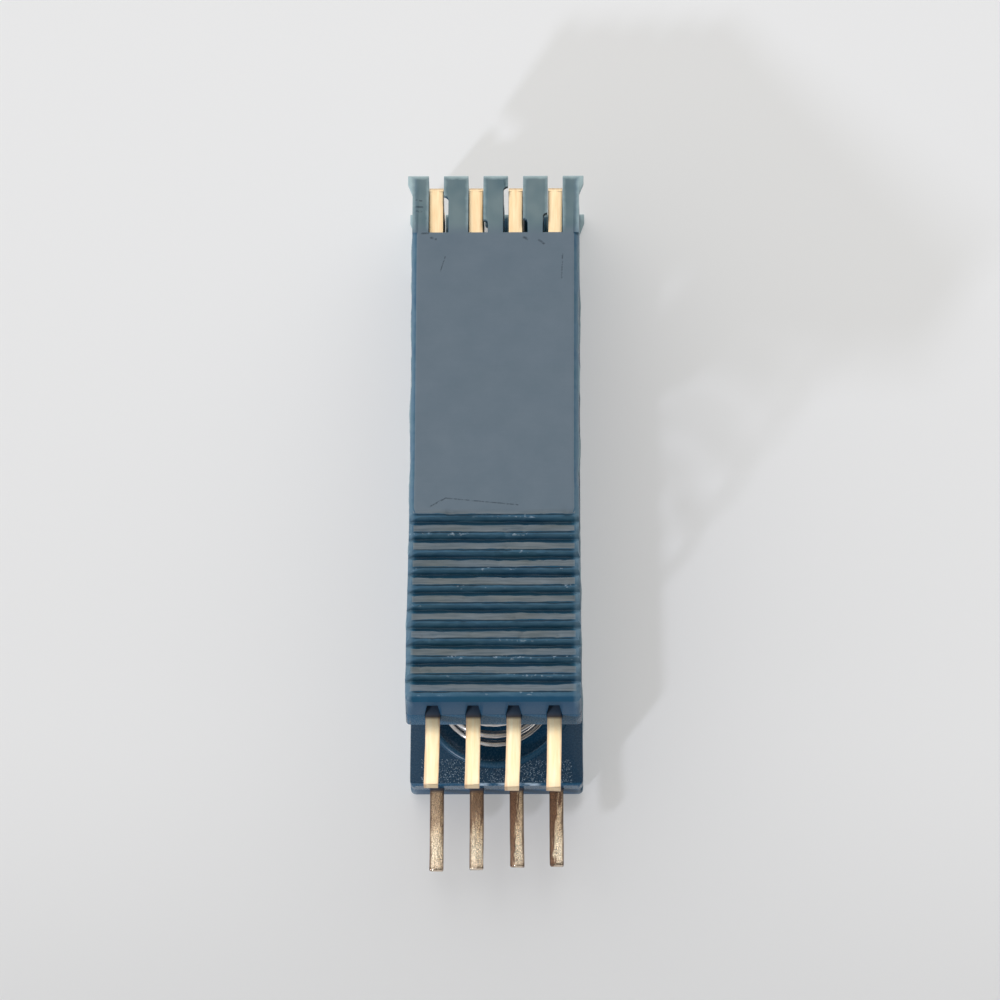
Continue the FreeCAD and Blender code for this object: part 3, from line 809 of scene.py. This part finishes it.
def mark_rubbed(work, to_own):
    """Marks the faces that lie in the outer flat, where hands and benches rub and where the sheen is
    painted.
    """
    marks = work.faces.layers.float.new("rubbed_sheen")
    outward = (to_own.inverted().to_3x3() @ Vector((0, 0, -1))).normalized()
    work.normal_update()
    for face in work.faces:
        depth = (to_own @ face.calc_center_median()).z / MM
        face[marks] = 1.0 if face.normal.dot(outward) > 0.965 and depth < 0.25 else 0.0


def dress(piece, body, slot, material, *nodes):
    """Gives a piece its finish and its place in the clip."""
    piece.data.materials.clear()
    piece.data.materials.append(material)
    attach(piece, body)
    if nodes:
        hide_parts(*nodes)


def new_tree(name, inputs, output):
    """Geometry tree with named inputs; gives the tree and its inputs' sockets."""
    tree = bpy.data.node_groups.new(name, "GeometryNodeTree")
    for label, kind in inputs:
        tree.interface.new_socket(label, in_out="INPUT", socket_type="NodeSocket" + kind)
    tree.interface.new_socket(output, in_out="OUTPUT", socket_type="NodeSocketGeometry")
    return tree, add_node(tree, "NodeGroupInput").outputs


def close_tree(tree, geometry, material, output):
    """Ends a geometry tree with plain geometry in one finish."""
    plain = add_node(tree, "GeometryNodeRealizeInstances", {"Geometry": geometry})
    inputs = {"Geometry": plain.outputs[0], "Material": material}
    finish = add_node(tree, "GeometryNodeSetMaterial", inputs)
    add_node(tree, "NodeGroupOutput", {output: finish.outputs[0]})
    return tree


def run_tree(piece, tree, values):
    """Runs a node tree on a piece with named inputs, and keeps the result as its mesh."""
    modifier = piece.modifiers.new("making", "NODES")
    modifier.node_group = tree
    for item in tree.interface.items_tree:
        if item.in_out == "INPUT" and item.name in values:
            modifier[item.identifier] = values[item.name]
    return finished_mesh(piece)


def spring_tree():
    """Winding of the grip spring: a helix fanned between its two tilted seats, swept by the wire."""
    tree, given = new_tree("grip_spring_winding", (
        ("Wire diameter", "Float"), ("Mean radius", "Float"), ("Turns", "Float"),
        ("End crowding", "Float"), ("Lower seat", "Vector"), ("Hinge", "Vector"),
        ("Middle normal", "Vector"), ("Wire finish", "Material")), "Spring")
    helix = add_node(tree, "GeometryNodeCurveSpiral", {
        "Resolution": 40, "Rotations": given["Turns"], "Start Radius": given["Mean radius"],
        "End Radius": given["Mean radius"], "Height": 1.0, "Reverse": True})
    place = add_node(tree, "GeometryNodeInputPosition").outputs[0]
    parts = add_node(tree, "ShaderNodeSeparateXYZ", {0: place}).outputs
    swing = maths(tree, "SINE", times(tree, parts[2], 2 * math.pi))
    crowd = times(tree, swing, maths(tree, "DIVIDE", given["End crowding"], 2 * math.pi))
    share = maths(tree, "SUBTRACT", parts[2], crowd)
    flat = add_node(tree, "ShaderNodeCombineXYZ", {0: parts[0], 1: parts[1]}).outputs[0]
    seated = vectors(tree, "ADD", flat, given["Lower seat"])
    low = vectors(tree, "SUBTRACT", seated, given["Hinge"])
    high = vectors(tree, "REFLECT", low, given["Middle normal"])
    between = add_node(tree, "ShaderNodeMix", {0: share, 4: low, 5: high}, data_type="VECTOR")
    fanned = vectors(tree, "ADD", between.outputs[1], given["Hinge"])
    centre_line = add_node(tree, "GeometryNodeSetPosition", {
        "Geometry": helix.outputs[0], "Position": fanned})
    radius = maths(tree, "DIVIDE", given["Wire diameter"], 2.0)
    section = add_node(tree, "GeometryNodeCurvePrimitiveCircle", {"Resolution": 14, "Radius": radius})
    wire = add_node(tree, "GeometryNodeCurveToMesh", {
        "Curve": centre_line.outputs[0], "Profile Curve": section.outputs[0], "Fill Caps": True})
    smooth = add_node(tree, "GeometryNodeSetShadeSmooth", {"Geometry": wire.outputs[0]})
    return close_tree(tree, smooth.outputs[0], given["Wire finish"], "Spring")


def add_spring(material):
    """Coil spring, wound between its two seats at rest."""
    piece = link_piece("coil_spring", bpy.data.meshes.new("coil_spring"))
    seat = Vector((0, SEAT_Y * MM, SPRING_SEAT_Z))
    run_tree(piece, spring_tree(), {
        "Wire diameter": WIRE, "Mean radius": SPRING_RADIUS, "Turns": float(SPRING_TURNS),
        "End crowding": END_CROWDING, "Lower seat": seat, "Hinge": HINGE,
        "Middle normal": MIDDLE_NORMAL, "Wire finish": material})
    upper = HINGE + (seat - HINGE).reflect(MIDDLE_NORMAL)
    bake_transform(piece)
    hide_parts("grip_spring")


def grain_tree():
    """Grains strewn over a patch of moulding, outside the spring's pocket; some are painted pale as
    glints.
    """
    tree, given = new_tree("plate_grain", (
        ("Patch", "Geometry"), ("Grains per square metre", "Float"), ("Grain size", "Float"),
        ("Pocket middle", "Vector"), ("Pocket radius", "Float"), ("Seed", "Int"),
        ("Finish", "Material")), "Grain")
    place = add_node(tree, "GeometryNodeInputPosition").outputs[0]
    off = measure(tree, "DISTANCE", place, given["Pocket middle"])
    outside = maths(tree, "GREATER_THAN", off, given["Pocket radius"])
    points = add_node(tree, "GeometryNodeDistributePointsOnFaces", {
        "Mesh": given["Patch"], "Density": given["Grains per square metre"],
        "Seed": given["Seed"], "Selection": outside})
    grain = add_node(tree, "GeometryNodeMeshIcoSphere", {
        "Radius": given["Grain size"], "Subdivisions": 1})
    spin = add_node(tree, "FunctionNodeRandomValue", {
        0: (0, 0, 0), 1: (6.28, 6.28, 6.28), "Seed": given["Seed"]}, data_type="FLOAT_VECTOR")
    size = add_node(tree, "FunctionNodeRandomValue", {
        0: (0.5, 0.5, 0.3), 1: (1.2, 1.2, 0.9), "Seed": given["Seed"]}, data_type="FLOAT_VECTOR")
    strewn = add_node(tree, "GeometryNodeInstanceOnPoints", {
        "Points": points.outputs["Points"], "Instance": grain.outputs["Mesh"],
        "Rotation": spin.outputs[0], "Scale": size.outputs[0]})
    # some grains painted pale as glints
    sparkle = add_node(tree, "FunctionNodeRandomValue", {
        2: -0.7, 3: 1.1, "Seed": given["Seed"]}, data_type="FLOAT")
    pale = maths(tree, "MAXIMUM", sparkle.outputs[1], 0.0)
    marked = add_node(tree, "GeometryNodeStoreNamedAttribute", {
        "Geometry": strewn.outputs[0], "Name": "pale", "Value": pale},
        data_type="FLOAT", domain="INSTANCE")
    return close_tree(tree, marked.outputs[0], given["Finish"], "Grain")


def add_grain(half, to_own, tree, material):
    """Coarse grain along the grip end of an inner plate."""
    near, far = END_Y + GRAIN_START, END_Y + GRAIN_END
    own_patch = [(-GRAIN_HALF, near), (GRAIN_HALF, near), (GRAIN_HALF, far), (-GRAIN_HALF, far)]
    back = to_own.inverted()
    corners = [back @ (Vector((x, y, HALF_THICKNESS)) * MM) for x, y in own_patch]
    mesh = bpy.data.meshes.new(half + "_plate_grain")
    mesh.from_pydata(corners, [], [(0, 1, 2, 3)])
    piece = link_piece(half + "_plate_grain", mesh)
    mesh = run_tree(piece, tree, {
        "Grains per square metre": GRAIN_DENSITY, "Grain size": GRAIN_SIZE, "Seed": GRAIN_SEED,
        "Pocket middle": back @ (Vector((0, SEAT_Y, HALF_THICKNESS)) * MM),
        "Pocket radius": (BEAD_OUTSIDE + 0.05) * MM, "Finish": material})
    mark_places(mesh, to_own)
    dress(piece, half + "_half", "plate_plastic", material)


def flash_tree():
    """Thin ragged ridge of moulding flash along a path, broken off here and there."""
    tree, given = new_tree("mould_flash", (
        ("Path", "Geometry"), ("Step", "Float"), ("Ridge height", "Float"),
        ("Lumps per metre", "Float"), ("Broken share", "Float"), ("Finish", "Material")), "Flash")
    path = add_node(tree, "GeometryNodeMeshToCurve", {0: given["Path"]})
    fine = add_node(tree, "GeometryNodeResampleCurve", mode="LENGTH")
    set_inputs(tree, fine, {"Curve": path.outputs[0], "Length": given["Step"]})
    place = add_node(tree, "GeometryNodeInputPosition").outputs[0]
    lumps = add_node(tree, "ShaderNodeTexNoise", {
        "Vector": place, "Scale": given["Lumps per metre"], "Detail": 5.0})
    high = maths(tree, "SUBTRACT", lumps.outputs["Fac"], given["Broken share"])
    radius = times(tree, maths(tree, "MAXIMUM", high, 0.02), given["Ridge height"])
    section = add_node(tree, "GeometryNodeCurvePrimitiveCircle", {"Resolution": 5, "Radius": 1.0})
    skin = add_node(tree, "GeometryNodeCurveToMesh", {
        "Curve": fine.outputs[0], "Profile Curve": section.outputs[0], "Scale": radius,
        "Fill Caps": True})
    return close_tree(tree, skin.outputs[0], given["Finish"], "Flash")


def add_flash(half, to_own, tree, material):
    """Ridges of flash along both long sides of a shell."""
    flare_y = END_Y + GRIP_FLARE_LENGTH
    own_path = [(SIDE, SLOT_Y - 0.2), (SIDE, flare_y), (SIDE + GRIP_FLARE - 0.01, END_Y + 0.6)]
    level = EDGE_RADIUS + 0.08
    back = to_own.inverted()
    corners = [back @ (Vector((side * x, y, level)) * MM) for side in (-1, 1) for x, y in own_path]
    mesh = bpy.data.meshes.new(half + "_mould_flash")
    mesh.from_pydata(corners, [(0, 1), (1, 2), (3, 4), (4, 5)], [])
    piece = link_piece(half + "_mould_flash", mesh)
    mesh = run_tree(piece, tree, {
        "Step": FLASH_STEP, "Ridge height": FLASH_HEIGHT, "Lumps per metre": FLASH_LUMPS,
        "Broken share": FLASH_BROKEN, "Finish": material})
    mark_places(mesh, to_own)
    mark_all(mesh, "pale", FLASH_PALE)
    dress(piece, half + "_half", "shell_plastic", material)


def add_half(half, blue, plate, gold):
    """One half: shell, inner plate and four contacts."""
    to_own = HALVES[half]
    body = half + "_half"
    across = Vector((1, 0, 0))
    along = to_own.inverted().to_3x3() @ Vector((0, 1, 0))
    middle = (to_own.inverted() @ Vector((0, 0, 0))).dot(along)
    across_cuts = [x * MM for x in steps(-ACROSS_REACH, ACROSS_REACH, ACROSS_STEP)]
    panel_cuts = [middle + y * MM for y in steps(LAST_GROOVE_Y + 0.9, SLOT_Y - 0.2, PANEL_STEP)]
    pin_cuts = [middle + y * MM for y in steps(END_Y - PIN_LENGTH, END_Y, PIN_STEP)]

    def at_round_end(spot):
        own = to_own @ spot / MM
        return abs(own.y - SLOT_Y) < 0.001 and abs(own.x) > SIDE - EDGE_RADIUS - 0.01

    work = eased_form(half + "_shell", MOULDED_EDGE, at_round_end)
    cut_across(work, across, across_cuts)
    cut_across(work, along, panel_cuts)
    mark_rubbed(work, to_own)
    wear_shell(work, to_own)
    shell = settle(work, half + "_shell_moulding", to_own)
    mark_all(shell.data, "pale", 0.0)
    dress(shell, body, "shell_plastic", blue, half + "_shell")
    inner = settle(eased_form(half + "_inner_plate", SEAM_EDGE), half + "_plate_moulding", to_own)
    mark_all(inner.data, "pale", 0.0)
    dress(inner, body, "plate_plastic", plate, half + "_inner_plate")
    for number, wear in enumerate(PIN_WEAR[half], start=1):
        node = "%s_contact_%d" % (half, number)
        work = eased_form(node, STAMPED_EDGES[half])
        cut_across(work, along, pin_cuts)
        wear_pin(work, to_own, wear)
        blade = settle(work, "%s_blade_%d" % (half, number), to_own)
        mark_all(blade.data, "mirrored_brown", wear[3])
        mark_all(blade.data, "hammered", HAMMERED[half])
        dress(blade, body, "contact_gold", gold, node)


def add_halves():
    """Both halves with their moulding marks."""
    blue, plate, gold = moulded_blue(), dark_plate(), plated_gold()
    grain, flash = grain_tree(), flash_tree()
    for half, to_own in HALVES.items():
        add_half(half, blue, plate, gold)
        add_grain(half, to_own, grain, plate)
        add_flash(half, to_own, flash, blue)


def add_pin():
    """Hinge pin."""
    piece = settle(eased_form("hinge_pin", GROUND_EDGE), "hinge_rod", HALVES["rear"])
    dress(piece, "rear_half", "pin_steel", ground_steel(), "hinge_pin")


def add_bench():
    """Pale bench top under the clip."""
    work = bmesh.new()
    bmesh.ops.create_grid(work, x_segments=1, y_segments=1, size=BENCH_HALF)
    bmesh.ops.translate(work, verts=work.verts, vec=(0, 0, -BENCH_DROP))
    mesh = bpy.data.meshes.new("bench")
    work.to_mesh(mesh)
    work.free()
    mesh.materials.append(bench_top())
    link_piece("bench", mesh)


def cone(tree, way, axis, spread, outside, inside):
    """One value outside a soft cone of directions, and another inside it."""
    begin, full = (math.cos(math.radians(angle)) for angle in spread)
    near = measure(tree, "DOT_PRODUCT", way, axis)
    return ramp(tree, near, begin, full, outside, inside, smooth=True)


def add_room():
    """Pale room: brightest beyond the jaw and on the left, a soft panel overhead, dark by the camera."""
    world = bpy.data.worlds.new("room")
    world.use_nodes = True
    tree = world.node_tree
    way = add_node(tree, "ShaderNodeTexCoord").outputs["Generated"]
    x, y = add_node(tree, "ShaderNodeSeparateXYZ", {0: way}).outputs[:2]
    level = maths(tree, "MULTIPLY_ADD", x, ROOM_TO_RIGHT, ROOM_LEVEL)
    beyond = ramp(tree, y, -0.05, 0.75, 0.0, ROOM_BEYOND_JAW, smooth=True)
    behind = ramp(tree, y, 0.0, -0.6, 0.0, ROOM_BEHIND_GRIP, smooth=True)
    level = maths(tree, "ADD", maths(tree, "ADD", level, beyond), behind)
    spot = cone(tree, way, camera_back(), DARK_SPOT_SPREAD, 1.0, 1 - ROOM_DARK_SPOT)
    overhead = Vector((OVERHEAD_LEFT, math.sin(OVERHEAD_TILT), math.cos(OVERHEAD_TILT))).normalized()
    panel = cone(tree, way, overhead, OVERHEAD_SPREAD, 0.0, ROOM_OVERHEAD)
    level = maths(tree, "MULTIPLY_ADD", level, spot, panel)
    set_inputs(tree, tree.nodes["Background"], {"Color": ROOM_TINT, "Strength": level})
    bpy.context.scene.world = world


def add_key():
    """Low key light from the grip's left."""
    key = bpy.data.lights.new("key", "SUN")
    key.energy = KEY_STRENGTH
    key.color = KEY_TINT
    key.angle = KEY_ANGLE
    lamp = bpy.data.objects.new("key", key)
    lamp.rotation_euler = KEY_TRAVEL.to_track_quat("-Z", "Y").to_euler()
    bpy.context.scene.collection.objects.link(lamp)


def camera_back():
    """Direction from the clip to the camera."""
    return Vector((math.tan(CAMERA_SIDESTEP), -math.tan(CAMERA_TILT), 1)).normalized()


def add_camera():
    """Camera at the photograph's angle."""
    data = bpy.data.cameras.new("camera")
    data.lens = CAMERA_LENS
    data.sensor_width = CAMERA_SENSOR
    data.clip_start = 0.01
    data.clip_end = 10
    back = camera_back()
    right = Vector((0, 1, 0)).cross(back).normalized()
    camera = bpy.data.objects.new("camera", data)
    camera.location = CAMERA_TARGET + back * CAMERA_DISTANCE
    camera.rotation_euler = Matrix((right, back.cross(right), back)).transposed().to_euler()
    bpy.context.scene.collection.objects.link(camera)
    bpy.context.scene.camera = camera


bpy.context.scene.view_settings.view_transform = "Standard"
add_camera()
add_key()
add_room()
add_bench()
add_halves()
add_pin()
add_spring(bright_wire())
